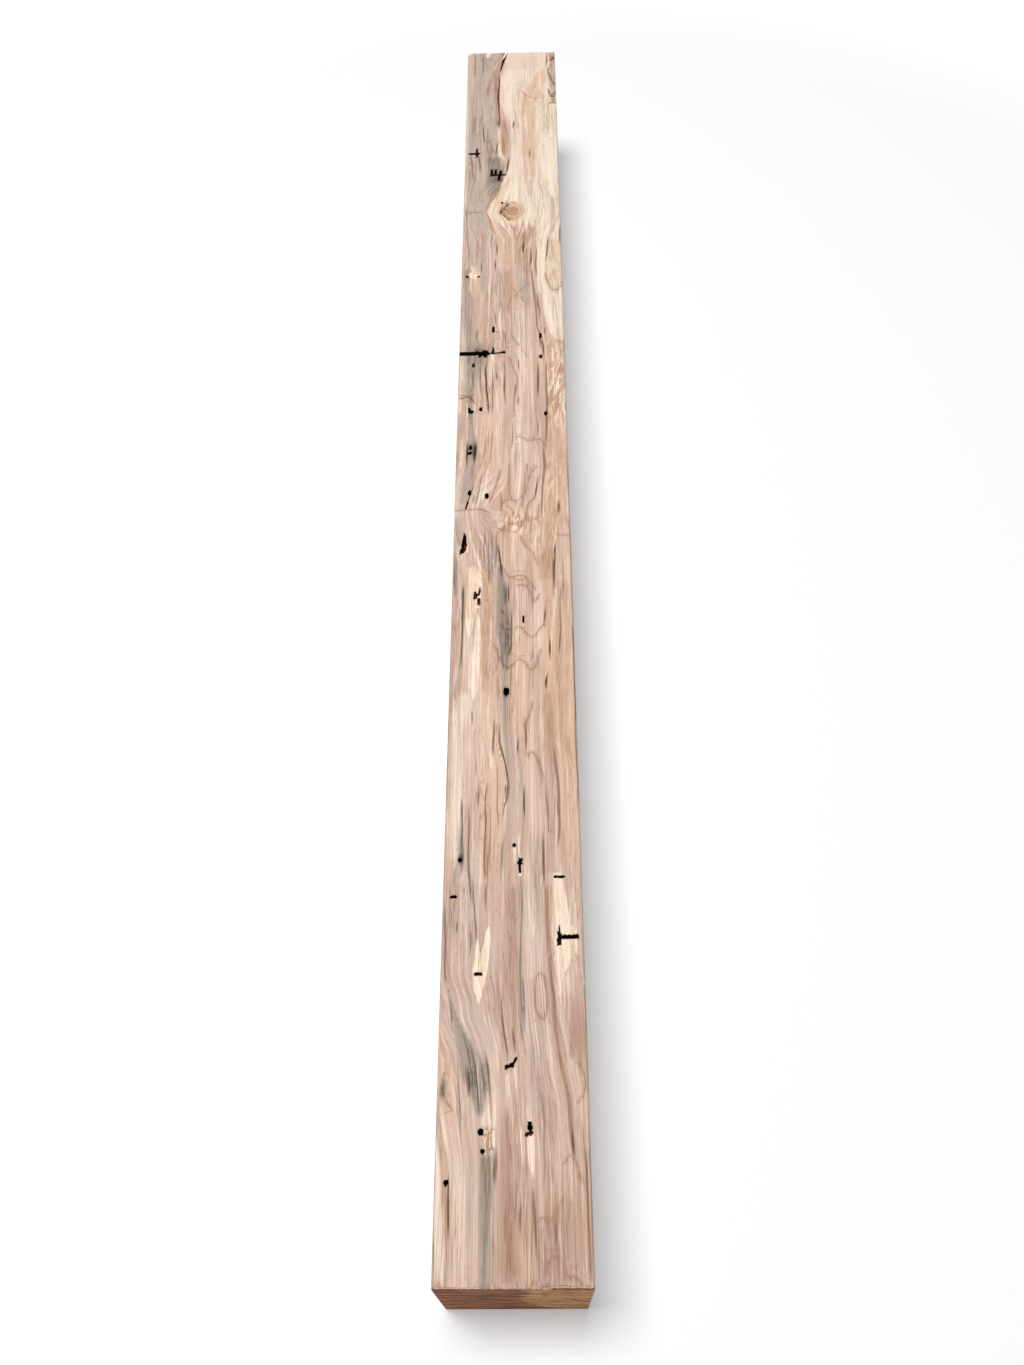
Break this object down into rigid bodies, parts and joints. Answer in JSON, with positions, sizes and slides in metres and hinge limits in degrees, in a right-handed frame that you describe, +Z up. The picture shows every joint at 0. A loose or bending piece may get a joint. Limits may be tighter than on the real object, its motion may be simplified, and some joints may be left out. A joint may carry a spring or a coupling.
{
  "type": "reclaimed maple board",
  "caption": "Thick squared board of reclaimed maple, as deep as a beam, with old nail holes, a saw cut and a drying check, for a mantel, shelf or bench.",
  "frame": {"origin": "centre of the underside, on the surface that the timber rests on", "axes": "+Y along the timber to its far end, with the drying check; +X across its width; +Z up through its depth, out of the scarred face"},
  "size_m": [0.1524, 1.956, 0.2032],
  "materials": {
    "weathered_maple": "dry, unfinished, weathered"
  },
  "bodies": {
    "root": {"maple_board": "weathered_maple"}
  },
  "joints": []
}
